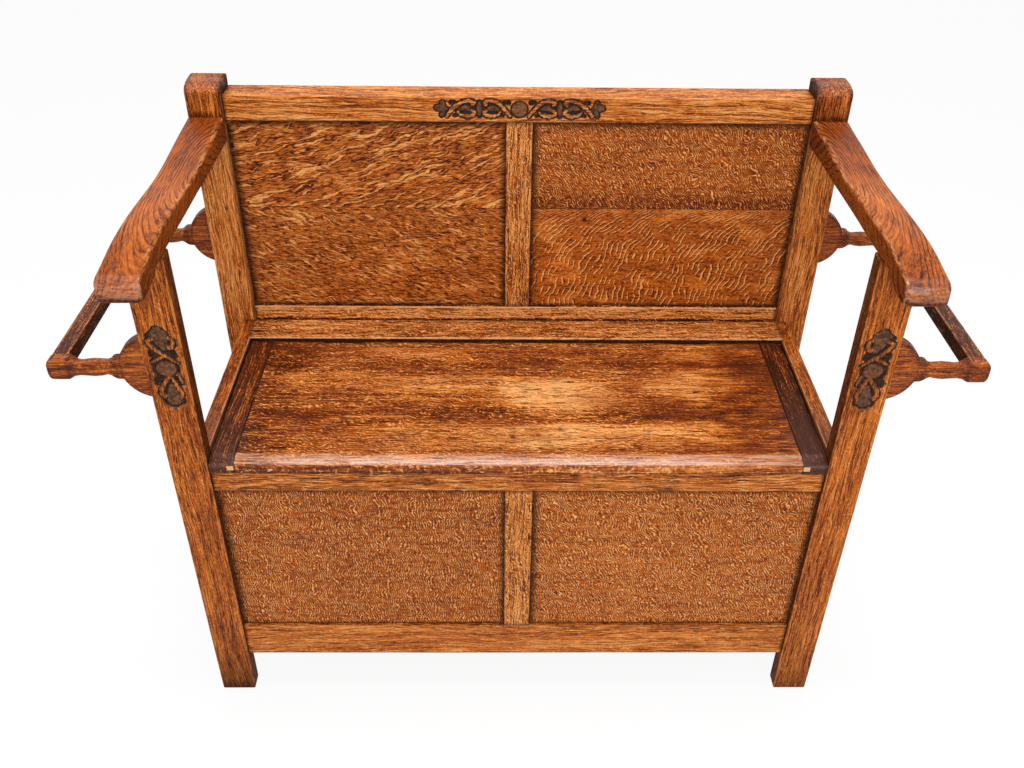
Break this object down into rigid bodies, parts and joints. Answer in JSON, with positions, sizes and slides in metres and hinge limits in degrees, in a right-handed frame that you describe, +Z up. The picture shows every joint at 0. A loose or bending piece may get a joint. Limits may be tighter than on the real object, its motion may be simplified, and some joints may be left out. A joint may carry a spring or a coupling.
{
  "type": "settle bench",
  "caption": "Panelled oak settle bench with a lift-up seat over a box, shaped open arms, carved rail and posts, and a bracketed stick stand on each side.",
  "frame": {"origin": "on the floor, in the middle of the overall width and depth", "axes": "+X along the bench towards the sitter's left, +Y towards the back, +Z up"},
  "size_m": [1.178, 0.476, 0.86],
  "materials": {
    "oak_frame": "waxed warm orange-brown oak with worn arrises",
    "oak_panel": "waxed quarter-sawn oak with golden ray fleck",
    "oak_lid": "red-brown oak, polished by use and worn pale in the middle",
    "oak_stand": "darker oak, dry and greyed on top",
    "oak_inside": "plain unpolished oak",
    "steel": "dull darkened steel"
  },
  "bodies": {
    "frame": {"front_post_left": "oak_frame", "back_post_left": "oak_frame", "front_post_right": "oak_frame", "back_post_right": "oak_frame", "front_seat_rail": "oak_frame", "front_bottom_rail": "oak_frame", "front_muntin": "oak_frame", "top_rail": "oak_frame", "back_muntin": "oak_frame", "back_seat_rail": "oak_frame", "back_bottom_rail": "oak_frame", "hinge_board": "oak_frame", "front_panel_left": "oak_panel", "back_panel_left": "oak_panel", "side_panel_left": "oak_panel", "side_seat_rail_left": "oak_frame", "side_bottom_rail_left": "oak_frame", "arm_left": "oak_frame", "bracket_front_left": "oak_stand", "bracket_back_left": "oak_stand", "stick_bar_left": "oak_stand", "hinge_fixed_leaf_left": "steel", "hinge_pin_left": "steel", "hinge_board_screw_left_1": "steel", "hinge_board_screw_left_2": "steel", "front_panel_right": "oak_panel", "back_panel_right": "oak_panel", "side_panel_right": "oak_panel", "side_seat_rail_right": "oak_frame", "side_bottom_rail_right": "oak_frame", "arm_right": "oak_frame", "bracket_front_right": "oak_stand", "bracket_back_right": "oak_stand", "stick_bar_right": "oak_stand", "hinge_fixed_leaf_right": "steel", "hinge_pin_right": "steel", "hinge_board_screw_right_1": "steel", "hinge_board_screw_right_2": "steel", "back_lower_panel": "oak_inside", "box_floor": "oak_inside", "floor_cleat_front": "oak_inside", "floor_cleat_back": "oak_inside"},
    "lid": {"hinge_moving_leaf_left": "steel", "lid_screw_left_1": "steel", "lid_screw_left_2": "steel", "lid_clamp_left": "oak_lid", "hinge_moving_leaf_right": "steel", "lid_screw_right_1": "steel", "lid_screw_right_2": "steel", "lid_clamp_right": "oak_lid", "lid_board": "oak_lid"}
  },
  "joints": [
    {"name": "lid_hinge", "type": "hinge", "parent": "frame", "child": "lid", "pos_m": [0, 0.1365, 0.4742], "axis": [-1, 0, 0], "range_deg": [0, 100]}
  ]
}
